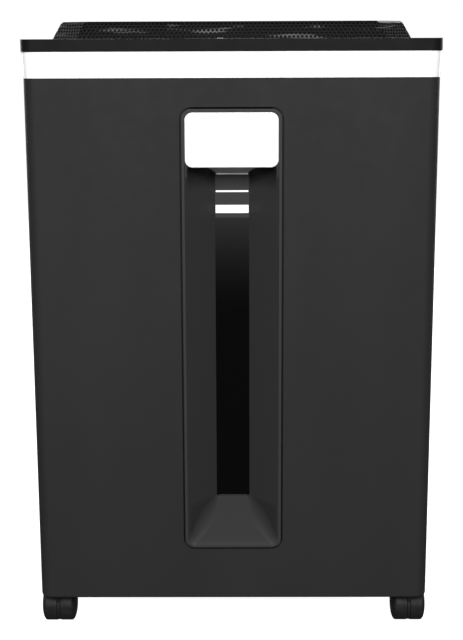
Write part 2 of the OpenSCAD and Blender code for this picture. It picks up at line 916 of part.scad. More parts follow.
module bin_front() {
    color("#303032")
        difference() {
            union() {
                difference() {
                    cabinet_outer();
                    cabinet_inner(cab_z0 + wall, cab_z1 - wall);
                    translate([-rim_w, seam_y, 0])
                        cube([2 * rim_w, 400, 700]);
                }
                // Screw bosses that reach back to the tub
                for (x = [-130, 130], z = [110, 270, 430])
                    translate([x, tub_front, z])
                        rotate([90, 0, 0])
                            cylinder(r = 6, h = 29.5, $fn = bore_fn);
            }
            on_front()
                face_panel(recess_w / 2, rec_lo, rec_hi, rec_r, -5, 12);
        }
}

slope_w = recess_w / 2 - groove - lip;
module recess_liner() {
    color("#2c2c2e")
        on_front()
            difference() {
                union() {
                    face_panel(recess_w / 2 - groove, rec_lo + groove, rec_hi - groove, rec_r - groove, -0.6, 5.4);
                    // Flange behind the wall of the bin front
                    face_panel(recess_w / 2 + 1.5, rec_lo - 1.5, rec_hi + 1.5, rec_r + 1.5, wall, 5.4);
                    hull() {
                        face_slab(slope_w + 2.4, rec_lo + 4, rec_hi - 8, 3);
                        face_slab(window_w / 2 + 3, win_lo - 4, floor_hi + 3, recess_deep - eps);
                    }
                    translate([-slope_w + 3, 3, floor_hi - 1])
                        cube([2 * slope_w - 6, 21.5, pocket_hi - floor_hi + 3]);
                }
                // Funnel that narrows to the window
                hull() {
                    face_slab(slope_w, rec_lo + groove + 3.2, slope_hi, -0.8);
                    face_slab(window_w / 2, win_lo, floor_hi, recess_deep + 0.01);
                }
                // Finger pocket behind the handle plate
                translate([-slope_w + 5.5, -1, plate_lo + 0.3])
                    cube([2 * slope_w - 11, 23, pocket_hi - plate_lo - 0.3]);
                // Seat of the handle plate
                face_panel(slope_w, plate_lo - 14, plate_hi + 0.3, 8, -1, 2.3);
            }
}

module window_ledges() {
    // White bar above the window and two thin pale ledges on the stepped floor
    on_front() {
        color("#3a3a3c") {
            translate([-window_w / 2 - 2, recess_deep, win_hi])
                cube([window_w + 4, 2.5, step_1 - win_hi]);
            translate([-window_w / 2 - 2, recess_deep + 2, step_1])
                cube([window_w + 4, 2.5, floor_hi - step_1 + 3]);
        }
        color("#f4f4f2") {
            translate([-window_w / 2 + 0.5, recess_deep - 1.6, win_hi + 5])
                cube([window_w - 1, 1.6, 8.6]);
            translate([-window_w / 2 + 0.7, recess_deep, step_1 + 0.1])
                cube([window_w - 1.4, 2, 1.8]);
            translate([-window_w / 2 + 0.8, recess_deep + 0.4, floor_hi - 1.4])
                cube([window_w - 1.6, 1.6, 1.3]);
        }
    }
}

module handle_plate() {
    color("#f6f6f4")
        on_front() {
            face_panel(slope_w - 0.25, plate_lo, plate_hi, 8, -1.2, 1.8);
            // Screw posts into the liner above the pocket
            for (x = [-30, 30])
                translate([x, 2.3, (pocket_hi + plate_hi) / 2])
                    rotate([90, 0, 0])
                        cylinder(r = 3, h = 0.5, $fn = bore_fn);
        }
}

module bin_window() {
    color("#0a0a0c")
        on_front()
            translate([-window_w / 2 - 2.6, recess_deep, win_lo - 3])
                cube([window_w + 5.2, 2.4, win_hi - win_lo + 3 - 0.1]);
}

// ---------- casters ----------

// Stem pivot, guard and web of one caster; the wheels hang ahead of the stem
module caster_hood(x, y) {
    color("#29292b")
        translate([x, y, 0]) {
            translate([0, 0, caster_top])
                cylinder(r = stem_r, h = stem_len, $fn = bore_fn);
            difference() {
                union() {
                    // Web and guard disc that fill the gap between the wheels
                    x_profile([[8, 14], [8, caster_top], [-trail - 20, caster_top], [-trail, 14]], -hub_x, hub_x);
                    x_cylinder(wheel_r - 0.5, -hub_x, hub_x, -trail, wheel_r);
                    // Cover plate over the wheels and the V-shaped nose ahead of them
                    hull() {
                        translate([0, 0, caster_top - 1.5])
                            cylinder(r = 9, h = 1.5, $fn = bore_fn);
                        translate([-nose_x, nose_y, caster_top - 1.5])
                            cube([2 * nose_x, 3, 1.5]);
                    }
                    hull() {
                        translate([-nose_x, nose_y, caster_top - 1.5])
                            cube([2 * nose_x, 3, 1.5]);
                        translate([-0.5, nose_y + 0.4, nose_z])
                            cube([1, 1.4, 1]);
                    }
                    // Guard over the rear of the wheels
                    difference() {
                        x_cylinder(wheel_r + 2.8, -15.5, 15.5, -trail, wheel_r);
                        x_cylinder(wheel_r + 0.9, -16, 16, -trail, wheel_r);
                        translate([-20, -60 - trail + 1, -10])
                            cube([40, 60, 60]);
                        translate([-20, -20, -20])
                            cube([40, 60, wheel_r + 24]);
                        translate([-20, -60, caster_top])
                            cube([40, 120, 20]);
                    }
                }
                x_cylinder(axle_pin_r + run_gap, -10, 10, -trail, wheel_r);
            }
        }
}

// Two domed wheels pressed on one axle
function dome(r0, x0, r1, x1, n) = [for (i = [0 : n]) let(a = 90 * i / n)
    [r1 + (r0 - r1) * cos(a), x0 + (x1 - x0) * sin(a)]];
module wheel() {
    rotate_extrude($fn = 96)
        polygon(concat([[axle_pin_r, hub_x + 0.4], [wheel_r - 0.3, hub_x + 0.4], [wheel_r, hub_x + 0.7]],
            dome(wheel_r, tread_x, 6, wheel_x, 9), [[axle_pin_r, wheel_x]]));
}
module caster_wheels(x, y) {
    color("#242426")
        translate([x, y - trail, wheel_r]) {
            rotate([0, 90, 0])
                wheel();
            rotate([0, -90, 0])
                wheel();
        }
    color("#c4c6c9")
        x_cylinder(axle_pin_r, x - 17, x + 17, y - trail, wheel_r);
}

module caster_hood_fl() { caster_hood(-stem_x, stem_y[0]); }
module caster_hood_fr() { caster_hood(stem_x, stem_y[0]); }
module caster_hood_rl() { caster_hood(-stem_x, stem_y[1]); }
module caster_hood_rr() { caster_hood(stem_x, stem_y[1]); }
module caster_wheels_fl() { caster_wheels(-stem_x, stem_y[0]); }
module caster_wheels_fr() { caster_wheels(stem_x, stem_y[0]); }
module caster_wheels_rl() { caster_wheels(-stem_x, stem_y[1]); }
module caster_wheels_rr() { caster_wheels(stem_x, stem_y[1]); }

cabinet_shell();
base_plate();
bin_rails();
mechanism_deck();
head_band();
top_cover();
feed_tray();
throat_guide();
side_plate_left();
side_plate_right();
tie_rods();
shaft_bearings();
comb_front();
comb_rear();
motor_can();
motor_bracket();
gear_cover();
power_inlet();
power_board();
control_board();
paper_sensor();
bin_switch();
lid_hinge_pins();
cover_screws();
rear_vent();
status_light();
lid_frame();
lid_mesh();
pressure_plate();
plate_springs();
cutter_shaft_front();
cutter_discs_front();
cutter_gear_front();
cutter_shaft_rear();
cutter_discs_rear();
cutter_gear_rear();
drive_gear();
reduction_gear();
motor_pinion();
feed_shaft();
feed_rollers();
feed_gear();
bin_tub();
bin_front();
recess_liner();
handle_plate();
bin_window();
window_ledges();
power_rocker();
auto_button();
reverse_button();
caster_hood_fl();
caster_wheels_fl();
caster_hood_fr();
caster_wheels_fr();
caster_hood_rl();
caster_wheels_rl();
caster_hood_rr();
caster_wheels_rr();
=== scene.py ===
"""Studio scene and finished look of a floor-standing paper shredder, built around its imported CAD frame.

Sizes are in millimetres and are turned into metres by mm(). x runs to the right as seen from the front,
y to the back and z up. The bin front is described on its own face: across, up from the floor, and in.
"""

import json
import math

import bmesh
import bpy
from mathutils import Matrix, Vector


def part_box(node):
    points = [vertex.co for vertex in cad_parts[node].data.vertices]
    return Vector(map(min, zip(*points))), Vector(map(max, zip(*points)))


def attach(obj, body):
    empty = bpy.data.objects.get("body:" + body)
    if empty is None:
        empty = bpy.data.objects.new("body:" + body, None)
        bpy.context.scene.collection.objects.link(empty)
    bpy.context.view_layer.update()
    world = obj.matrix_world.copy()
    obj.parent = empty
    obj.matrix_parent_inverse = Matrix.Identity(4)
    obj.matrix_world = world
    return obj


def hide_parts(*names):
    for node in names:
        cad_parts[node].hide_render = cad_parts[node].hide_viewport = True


MM = 0.001

# Camera, in millimetres and degrees: straight in front, at the height of the lid and looking down a little
CAMERA_AT = (8.6, -1550.2, 640)
CAMERA_YAW = 0.395
CAMERA_PITCH = 11.856
CAMERA_ROLL = -0.224
CAMERA_LENS = 75.43
SENSOR = 36

# How far the bin front leans out over its height
FACE_RISE = 0.8

# Recess in the bin front. The flange lies between WALL_BACK and LINER_BACK, and closes the groove from behind
WALL_BACK = 3.05
LINER_BACK = 5.4
FLANGE = 1.5
GROOVE = 1.6
LIP = 3.6
LIP_CROWN = 0.9
LIP_PROUD = 0.6
RECESS_R = 12.5
RAMP_LOW = 3.4
FUNNEL_TOP = 518
FUNNEL_FLOOR_TOP = 501.7
WINDOW_LOW = 146
WINDOW_HIGH = 454.7
WINDOW_W = 36
PLATE_SEAT = 2.3
PLATE_EDGE = 1.4
PLATE_LOW = 510.9
PLATE_HIGH = 566.8
POCKET_HIGH = 553
POCKET_DEEP = 23
LEDGE_LOW = 481.6

# Perforated lid, and the dark sheet inside its slopes that paints shade behind its holes
SHEET = 1.2
LID_CHAMFER = 28
LID_SLOPE = 8.1
LID_BACK_SLOPE = 3
LID_FOLD = 2
LID_FOLD_IN = 2.5
LID_BACK_FOLD = 5
HOLE_PITCH = 4.4
TOP_PITCH = 4.8
HOLE_SHARE = 0.7
LID_DROP = 0.37
SHADE_SHEET = 0.4
SHADE_SHEET_GAP = 0.3
SHADE_SHEET_UP = 0.05

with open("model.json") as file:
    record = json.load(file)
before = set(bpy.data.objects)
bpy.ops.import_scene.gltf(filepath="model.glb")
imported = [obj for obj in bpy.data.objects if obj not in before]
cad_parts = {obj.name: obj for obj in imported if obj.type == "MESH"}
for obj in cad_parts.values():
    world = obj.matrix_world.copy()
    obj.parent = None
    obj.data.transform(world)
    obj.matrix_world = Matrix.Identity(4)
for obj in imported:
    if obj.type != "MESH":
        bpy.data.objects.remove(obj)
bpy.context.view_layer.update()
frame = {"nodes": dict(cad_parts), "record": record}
slots = {part["node"]: part["material_slot"] for part in frame["record"]["subparts"]}


def mm(*values):
    """Millimetres as metres: one number, or a vector of several."""
    return values[0] * MM if len(values) == 1 else Vector(values) * MM


def box_mm(node):
    """Lowest and highest corner of a CAD node in millimetres."""
    low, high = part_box(node)
    return low / MM, high / MM


body_low, body_high = box_mm("bin_front")
liner_low, liner_high = box_mm("recess_liner")
lid_low, lid_high = box_mm("lid_mesh")
FACE_LEAN = FACE_RISE / (body_high.z - body_low.z)
FACE_Y = body_low.y + FACE_RISE
slope_half = liner_high.x - FLANGE - GROOVE - LIP
recess_low = liner_low.z + FLANGE + GROOVE
recess_high = liner_high.z - FLANGE - GROOVE


# ---------- materials ----------


class Shader:
    """A Principled material whose detail comes from object coordinates, in metres."""

    def __init__(self, name, colour, roughness, **values):
        self.material = bpy.data.materials.new(name)
        self.material.use_nodes = True
        self.tree = self.material.node_tree
        self.surface = self.tree.nodes["Principled BSDF"]
        self.colour = colour
        self.surface.inputs["Base Color"].default_value = (*colour, 1)
        self.surface.inputs["Roughness"].default_value = roughness
        for key, value in values.items():
            self.surface.inputs[key.replace("_", " ")].default_value = value
        self.place = self.node("ShaderNodeTexCoord").outputs["Object"]

    def node(self, kind, **settings):
        made = self.tree.nodes.new(kind)
        for key, value in settings.items():
            setattr(made, key, value)
        return made

    def link(self, output, socket):
        self.tree.links.new(output, socket)

    def axes(self):
        """The x, y and z object coordinates."""
        place = self.node("ShaderNodeSeparateXYZ")
        self.link(self.place, place.inputs["Vector"])
        return [place.outputs[axis] for axis in "XYZ"]

    def calculate(self, operation, *values):
        """Result of a Math node whose inputs are numbers or other outputs."""
        made = self.node("ShaderNodeMath", operation=operation)
        for value, socket in zip(values, made.inputs):
            if isinstance(value, (int, float)):
                socket.default_value = value
            else:
                self.link(value, socket)
        return made.outputs["Value"]

    def stretched(self, scale):
        """Object coordinates multiplied along each axis."""
        mapping = self.node("ShaderNodeMapping")
        mapping.inputs["Scale"].default_value = scale
        self.link(self.place, mapping.inputs["Vector"])
        return mapping.outputs["Vector"]

    def noise(self, size, detail=3.0, stretch=None, distortion=0.0):
        """Noise whose blobs are about size millimetres wide."""
        texture = self.node("ShaderNodeTexNoise")
        texture.inputs["Scale"].default_value = 1 / mm(size)
        texture.inputs["Detail"].default_value = detail
        texture.inputs["Distortion"].default_value = distortion
        self.link(self.stretched(stretch) if stretch else self.place, texture.inputs["Vector"])
        return texture.outputs["Fac"]

    def spread(self, value, low, high, start=0.3, end=0.7):
        """Maps a value from start..end to low..high."""
        ranged = self.node("ShaderNodeMapRange")
        for key, number in (("From Min", start), ("From Max", end), ("To Min", low), ("To Max", high)):
            ranged.inputs[key].default_value = number
        self.link(value, ranged.inputs["Value"])
        return ranged.outputs["Result"]

    def vary_roughness(self, value, low, high):
        self.link(self.spread(value, low, high), self.surface.inputs["Roughness"])

    def mix_colour(self, factor, start, end):
        """Base colour that goes from start to end as factor goes from 0 to 1."""
        mix = self.node("ShaderNodeMix", data_type="RGBA")
        mix.inputs["A"].default_value = (*start, 1)
        mix.inputs["B"].default_value = (*end, 1)
        self.link(factor, mix.inputs["Factor"])
        self.link(mix.outputs["Result"], self.surface.inputs["Base Color"])

    def vary_colour(self, value, darker, lighter):
        """Mixes the base colour between a darker and a lighter share of itself."""
        dark, light = ([min(1, c * share) for c in self.colour] for share in (darker, lighter))
        self.mix_colour(self.spread(value, 0, 1), dark, light)

    def bump(self, *layers):
        """Adds up (height value, depth in millimetres) layers as surface relief."""
        normal = None
        for value, depth in layers:
            relief = self.node("ShaderNodeBump")
            relief.inputs["Strength"].default_value = 1
            relief.inputs["Distance"].default_value = mm(depth)
            self.link(value, relief.inputs["Height"])
            if normal:
                self.link(normal, relief.inputs["Normal"])
            normal = relief.outputs["Normal"]
        self.link(normal, self.surface.inputs["Normal"])


def moulded(name, colour, roughness, grain=0.03, specular=0.3):
    """Spark-textured moulded plastic: fine grain, faint flow marks and uneven gloss."""
    shader = Shader(name, colour, roughness, Specular_IOR_Level=specular)
    flow = shader.noise(90, 2, (1, 1, 0.35), 0.4)
    shader.vary_colour(flow, 0.94, 1.06)
    shader.vary_roughness(shader.noise(14), roughness - 0.05, roughness + 0.05)
    shader.bump((shader.noise(1.1, 4), grain), (flow, 0.05))
    return shader.material


def glossy(name, colour, roughness):
    """Polished moulding: a very slight orange peel and rare handling haze."""
    shader = Shader(name, colour, roughness)
    haze = shader.noise(40, 4)
    shader.vary_roughness(haze, roughness * 0.7, roughness * 1.4)
    shader.vary_colour(haze, 0.985, 1.01)
    shader.bump((shader.noise(7, 1), 0.012))
    return shader.material


def sheet_steel(name, colour, roughness):
    """Rolled or ground steel with streaks along x."""
    shader = Shader(name, colour, roughness, Metallic=1.0)
    streaks = shader.noise(9, 5, (1, 14, 14))
    shader.vary_roughness(streaks, roughness - 0.08, roughness + 0.1)
    shader.vary_colour(shader.noise(30, 4), 0.85, 1.08)
    shader.bump((streaks, 0.01))
    return shader.material


def machined(name, colour, roughness):
    """Turned and milled metal: fine tool marks around x, with darker oily patches."""
    shader = Shader(name, colour, roughness, Metallic=1.0)
    marks = shader.noise(2, 2, (6, 1, 1))
    oil = shader.noise(16, 4, distortion=0.6)
    shader.vary_roughness(marks, roughness - 0.06, roughness + 0.12)
    shader.vary_colour(oil, 0.6, 1.1)
    shader.bump((marks, 0.01))
    return shader.material


def rubber(name, colour, roughness, specular):
    """Soft rubber with a fine dusty grain."""
    shader = Shader(name, colour, roughness, Specular_IOR_Level=specular)
    shader.vary_colour(shader.noise(5, 5), 0.8, 1.3)
    shader.vary_roughness(shader.noise(12), roughness - 0.1, roughness + 0.08)
    shader.bump((shader.noise(0.6, 3), 0.03))
    return shader.material


def powder_coat(name, colour, roughness):
    """Powder-coated sheet metal with orange peel."""
    shader = Shader(name, colour, roughness)
    peel = shader.noise(1.6, 2)
    shader.vary_roughness(peel, roughness - 0.06, roughness + 0.08)
    shader.vary_colour(shader.noise(25, 3), 0.85, 1.15)
    shader.bump((peel, 0.03))
    return shader.material


def punched_sheet(name, colour, roughness, specular):
    """Black-coated perforated sheet with painted highlights: its base colour is lightened in bands of blobs
    on the slopes, standing in for glints on the webs, and not on the top.
    """
    shader = Shader(name, colour, roughness, Specular_IOR_Level=specular)
    z = shader.axes()[2]
    # Painted highlight: bands of noise that lighten the webs' base colour, in place of glints of light
    painted_glints = shader.spread(shader.noise(60, 4, (1, 1, 9), 0.3), 0, 1, 0.52, 0.74)
    slopes = shader.spread(z, 1, 0, mm(lid_high.z - 3), mm(lid_high.z - 1.5))
    shader.vary_colour(shader.calculate("MULTIPLY", painted_glints, slopes), 0.9, 14)
    peel = shader.noise(1.6, 2)
    shader.vary_roughness(peel, roughness - 0.06, roughness + 0.08)
    shader.bump((peel, 0.03))
    return shader.material


def circuit_board(name):
    """Solder-masked board with copper runs under the mask."""
    shader = Shader(name, (0.01, 0.09, 0.035), 0.35)
    cells = shader.node("ShaderNodeTexVoronoi", distance="MANHATTAN", feature="DISTANCE_TO_EDGE")
    cells.inputs["Scale"].default_value = 1 / mm(6)
    shader.link(shader.place, cells.inputs["Vector"])
    runs = shader.spread(cells.outputs["Distance"], 1, 0, 0.04, 0.1)
    shader.vary_colour(runs, 0.7, 2.2)
    shader.bump((runs, 0.04))
    return shader.material


def recess_plastic(name, colour, roughness, specular):
    """Moulding of the recess with painted shade: its base colour is darkened in the groove around it, as a
    painted shadow of the handle plate on the walls below it, and a little on the ramp, which faces up into
    the light.
    """
    shader = Shader(name, colour, roughness, Specular_IOR_Level=specular)
    x, y, z = shader.axes()
    # Painted shadow of the handle plate on the walls below it
    painted_plate_shadow = shader.spread(z, 0, 1, mm(PLATE_LOW - 24), mm(PLATE_LOW - 2))
    # Painted shade on the ramp, which faces up towards the lamps
    ramp = shader.spread(z, 0.22, 0, mm(WINDOW_LOW - 3), mm(WINDOW_LOW + 3))
    inside = shader.spread(y, 0, 1, mm(FACE_Y + 0.5), mm(FACE_Y + 4))
    beside = shader.calculate("SUBTRACT", shader.calculate("ABSOLUTE", x), mm(slope_half + LIP))
    above = shader.calculate("SUBTRACT", z, mm(recess_high))
    below = shader.calculate("SUBTRACT", mm(recess_low), z)
    outside = shader.calculate("MAXIMUM", beside, shader.calculate("MAXIMUM", above, below))
    # Painted shade in the groove around the recess
    painted_groove_shade = shader.spread(outside, 0, 1, mm(-0.3), 0)
    deep = shader.calculate("MULTIPLY", inside, shader.calculate("MAXIMUM", painted_plate_shadow, ramp))
    shade = shader.calculate("MAXIMUM", painted_groove_shade, deep)
    # All the painted shade mixes the base colour down to a twentieth of itself
    shader.mix_colour(shade, colour, [c * 0.05 for c in colour])
    shader.vary_roughness(shader.noise(14), roughness - 0.05, roughness + 0.05)
    shader.bump((shader.noise(1.1, 4), 0.02))
    return shader.material


def smoked_window(name):
    """Deep smoked acrylic with a painted reflection: its base colour is lighter near its top edge and fades
    to near black lower down.
    """
    shader = Shader(name, (0.022, 0.022, 0.024), 0.06, Specular_IOR_Level=0.14)
    z = shader.axes()[2]
    # Painted reflection: the base colour lightens towards the window's top edge
    brightening = shader.calculate("POWER", shader.spread(z, 0, 1, mm(WINDOW_HIGH - 110), mm(WINDOW_HIGH)), 2.2)
    shader.mix_colour(brightening, (0.0015, 0.0015, 0.0018), (0.019, 0.019, 0.02))
    shader.vary_roughness(shader.noise(30, 4), 0.04, 0.1)
    shader.bump((shader.noise(12, 1), 0.01))
    return shader.material


def lens(name):
    """Frosted light pipe."""
    shader = Shader(name, (0.08, 0.085, 0.09), 0.3, Transmission_Weight=0.2)
    shader.vary_roughness(shader.noise(1.5, 2), 0.22, 0.4)
    return shader.material


MATERIALS = {
    "black_body": moulded("black_body", (0.018, 0.018, 0.0184), 0.6, 0.03, 0.1),
    "black_top": moulded("black_top", (0.0066, 0.0066, 0.0069), 0.55, 0.02, 0.06),
    "perforated_black": punched_sheet("perforated_black", (0.0065, 0.0065, 0.0068), 0.33, 0.18),
    "white_gloss": glossy("white_gloss", (0.82, 0.82, 0.815), 0.22),
    "liner_black": recess_plastic("liner_black", (0.028, 0.028, 0.0284), 0.5, 0.12),
    "ledge_trim": glossy("ledge_trim", (0.86, 0.86, 0.85), 0.25),
    "dark_window": smoked_window("dark_window"),
    "tub_plastic": moulded("tub_plastic", (0.019, 0.019, 0.02), 0.5, 0.03, 0.2),
    "plate_steel": sheet_steel("plate_steel", (0.5, 0.51, 0.53), 0.36),
    "rail_plastic": moulded("rail_plastic", (0.05, 0.05, 0.052), 0.45),
    "bright_steel": machined("bright_steel", (0.66, 0.67, 0.69), 0.26),
    "cutter_steel": machined("cutter_steel", (0.3, 0.31, 0.33), 0.34),
    "gear_steel": machined("gear_steel", (0.36, 0.36, 0.37), 0.38),
    "bronze": machined("bronze", (0.55, 0.36, 0.16), 0.36),
    "motor_paint": powder_coat("motor_paint", (0.03, 0.035, 0.045), 0.4),
    "black_inner": moulded("black_inner", (0.015, 0.015, 0.016), 0.6),
    "circuit_board": circuit_board("circuit_board"),
    "light_lens": lens("light_lens"),
    "roller_rubber": rubber("roller_rubber", (0.02, 0.02, 0.021), 0.7, 0.3),
    "gear_nylon": moulded("gear_nylon", (0.7, 0.68, 0.6), 0.42),
    "rocker_red": glossy("rocker_red", (0.42, 0.012, 0.01), 0.28),
    "button_grey": moulded("button_grey", (0.34, 0.34, 0.35), 0.4),
    "caster_black": moulded("caster_black", (0.013, 0.013, 0.0134), 0.45, 0.02, 0.1),
    "wheel_black": rubber("wheel_black", (0.012, 0.012, 0.0124), 0.5, 0.12),
}


# ---------- mesh helpers ----------


def make_object(name, verts, faces, slot, body):
    """A mesh piece from points in millimetres, riding on a body with a slot's material."""
    mesh = bpy.data.meshes.new(name)
    mesh.from_pydata([mm(*v) for v in verts], [], faces)
    work = bmesh.new()
    work.from_mesh(mesh)
    bmesh.ops.remove_doubles(work, verts=work.verts, dist=mm(0.002))
    bmesh.ops.recalc_face_normals(work, faces=work.faces)
    work.to_mesh(mesh)
    work.free()
    piece = bpy.data.objects.new(name, mesh)
    bpy.context.scene.collection.objects.link(piece)
    mesh.materials.append(MATERIALS[slot])
    if body:
        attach(piece, body)
    return piece


def band_faces(rings, closed=False):
    """Quads between rings of equal point counts, and from the last ring to the first one if closed."""
    count, total = len(rings[0]), len(rings)
    return [[i * count + k, i * count + (k + 1) % count,
             (i + 1) % total * count + (k + 1) % count, (i + 1) % total * count + k]
            for i in range(total if closed else total - 1) for k in range(count)]


def loft(name, rings, slot="liner_black", body=None):
    """A closed solid through rings of equal point counts, capped at both ends."""
    count = len(rings[0])
    verts = [point for ring in rings for point in ring]
    faces = band_faces(rings)
    faces.append(list(range(count)))
    faces.append([(len(rings) - 1) * count + k for k in range(count)])
    return make_object(name, verts, faces, slot, body)


def rounded_outline(left, right, low, high, radius, steps=8):
    """Corner-rounded rectangle as (across, up) points."""
    points = []
    corners = ((right, high, 0), (left, high, 90), (left, low, 180), (right, low, 270))
    for x, y, start in corners:
        cx = x - math.copysign(radius, x - (left + right) / 2)
        cy = y - math.copysign(radius, y - (low + high) / 2)
        for k in range(steps + 1):
            angle = math.radians(start + 90 * k / steps)
            points.append((cx + radius * math.cos(angle), cy + radius * math.sin(angle)))
    return points


def cut(target, tool, operation="DIFFERENCE"):
    """Applies an exact boolean and removes the tool."""
    modifier = target.modifiers.new(operation.lower(), "BOOLEAN")
    modifier.operation = operation
    modifier.solver = "EXACT"
    modifier.object = tool
    depsgraph = bpy.context.evaluated_depsgraph_get()
    result = bpy.data.meshes.new_from_object(target.evaluated_get(depsgraph))
    target.modifiers.clear()
    target.data = result
    bpy.data.objects.remove(tool)
    return target


def soften(piece, radius, segments=3, angle=28):
    """Rounds the edges of a piece and shades it smooth with flat faces kept flat."""
    for polygon in piece.data.polygons:
        polygon.use_smooth = True
    bevel = piece.modifiers.new("edge_round", "BEVEL")
    bevel.width = mm(radius)
    bevel.segments = segments
    bevel.limit_method = "ANGLE"
    bevel.angle_limit = math.radians(angle)
    bevel.miter_outer = "MITER_ARC"
    weighted = piece.modifiers.new("flat_faces", "WEIGHTED_NORMAL")
    weighted.weight = 90
    return piece


def soften_cad(node, radius, segments=2):
    """Merges a CAD node's split corners and flat triangles by modifiers, then rounds its edges."""
    piece = frame["nodes"][node]
    bpy.context.view_layer.objects.active = piece
    bpy.ops.mesh.customdata_custom_splitnormals_clear()
    weld = piece.modifiers.new("weld", "WELD")
    weld.merge_threshold = mm(0.004)
    planar = piece.modifiers.new("planar", "DECIMATE")
    planar.decimate_type = "DISSOLVE"
    planar.angle_limit = math.radians(0.6)
    soften(piece, radius, segments)


# ---------- bin front ----------

recess_deep = box_mm("bin_window")[0].y - FACE_Y


def on_face(across, up, depth):
    """A point on the slightly leaning front face, depth millimetres into the cabinet."""
    return (across, FACE_Y - FACE_LEAN * (up - body_low.z) + depth, up)


def face_ring(half, low, high, radius, depth, steps=8):
    """Rounded outline parallel to the front face, at one depth."""
    return [on_face(x, z, depth) for x, z in rounded_outline(-half, half, low, high, radius, steps)]


def face_slab(half, low, high, radius, front, back, steps=8):
    """Rings of a straight slab between two depths."""
    return [face_ring(half, low, high, radius, depth, steps) for depth in (front, back)]


def recess_liner():
    """The crowned lip, the funnel that narrows to the window, and the finger pocket, as one moulding."""
    half, radius = slope_half + LIP, RECESS_R - GROOVE
    rings = [face_ring(half, recess_low, recess_high, radius, LINER_BACK)]
    for k in range(5):
        turn = math.radians(90 * k / 4)
        inset = LIP_CROWN * (1 - math.cos(turn))
        depth = LIP_CROWN * (1 - math.sin(turn)) - LIP_PROUD
        rings.append(face_ring(half - inset, recess_low + inset, recess_high - inset, radius - inset, depth))
    liner = loft("recess_liner_shell", rings)
    more = GROOVE + FLANGE
    cut(liner, loft("tool", face_slab(half + more, recess_low - more, recess_high + more, radius + more,
                                      WALL_BACK, LINER_BACK)), "UNION")
    cut(liner, loft("tool", [
        face_ring(slope_half + 2.4, recess_low + 3.2, recess_high - 7, 6, 3),
        face_ring(WINDOW_W / 2 + 3, WINDOW_LOW - 4, FUNNEL_FLOOR_TOP + 3, 3, recess_deep - 0.02)]), "UNION")
    funnel = []
    for k in range(13):
        t = -0.04 + 1.05 * k / 12
        side = slope_half + (WINDOW_W / 2 - slope_half) * t
        low = recess_low + RAMP_LOW + (WINDOW_LOW - recess_low - RAMP_LOW) * t
        high = FUNNEL_TOP + (FUNNEL_FLOOR_TOP - FUNNEL_TOP) * t
        corner = 7.3 * (1 - t) + 2 * t + 9 * math.sin(math.pi * min(1, max(0, t)))
        funnel.append(face_ring(side, low, high, min(corner, side - 1), recess_deep * t))
    cut(liner, loft("tool", funnel))
    pocket = slope_half - 5.5
    cut(liner, loft("tool", face_slab(pocket, PLATE_LOW + 0.3, POCKET_HIGH, 4, -2, POCKET_DEEP)))
    cut(liner, loft("tool", face_slab(slope_half, PLATE_LOW - 14, PLATE_HIGH + 0.3, 8, -2, PLATE_SEAT)))
    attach(liner, "bin")
    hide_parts("recess_liner")
    soften(liner, 0.5, 3, 24)


def handle_plate():
    """White gloss plate with a pillowed edge."""
    half = slope_half - 0.25
    rings = [face_ring(half - 0.6, PLATE_LOW + 0.6, PLATE_HIGH - 0.6, 7.4, 1.8, 12)]
    for k in range(7):
        turn = math.radians(90 * k / 6)
        inset = PLATE_EDGE * (1 - math.cos(turn))
        depth = PLATE_EDGE * (1 - math.sin(turn)) - 1.2
        radius = 8 - inset * 0.6
        rings.append(face_ring(half - inset, PLATE_LOW + inset, PLATE_HIGH - inset, radius, depth, 12))
    plate = loft("handle_plate_gloss", rings, "white_gloss", "bin")
    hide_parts("handle_plate")
    soften(plate, 0.2, 2, 35)


def face_bar(name, half, low, high, front, back, slot, edge=0.35):
    """A softened bar on the recess floor."""
    bar = loft(name, face_slab(half, low, high, 0.6, front, back, 3), slot, "bin")
    return soften(bar, edge, 2)


def funnel_roof_painted_bounce():
    """Panel that closes the funnel beneath the handle plate, in paler grey as painted light: it stands for
    the floor's light bouncing onto this downward face.
    """
    rings = []
    for half, sag, depth in ((25.3, 1.3, 16), (17.2, 0.15, recess_deep - 0.1)):
        height = FUNNEL_TOP + (FUNNEL_FLOOR_TOP - FUNNEL_TOP) * depth / recess_deep
        rings.append(face_ring(half, height - sag, height + 0.6, 0.3, depth, 2))
    # Painted light: the paler button grey lightens this face in place of reflected floor light
    soften(loft("funnel_roof_painted_bounce", rings, "button_grey", "bin"), 0.1, 1, 50)


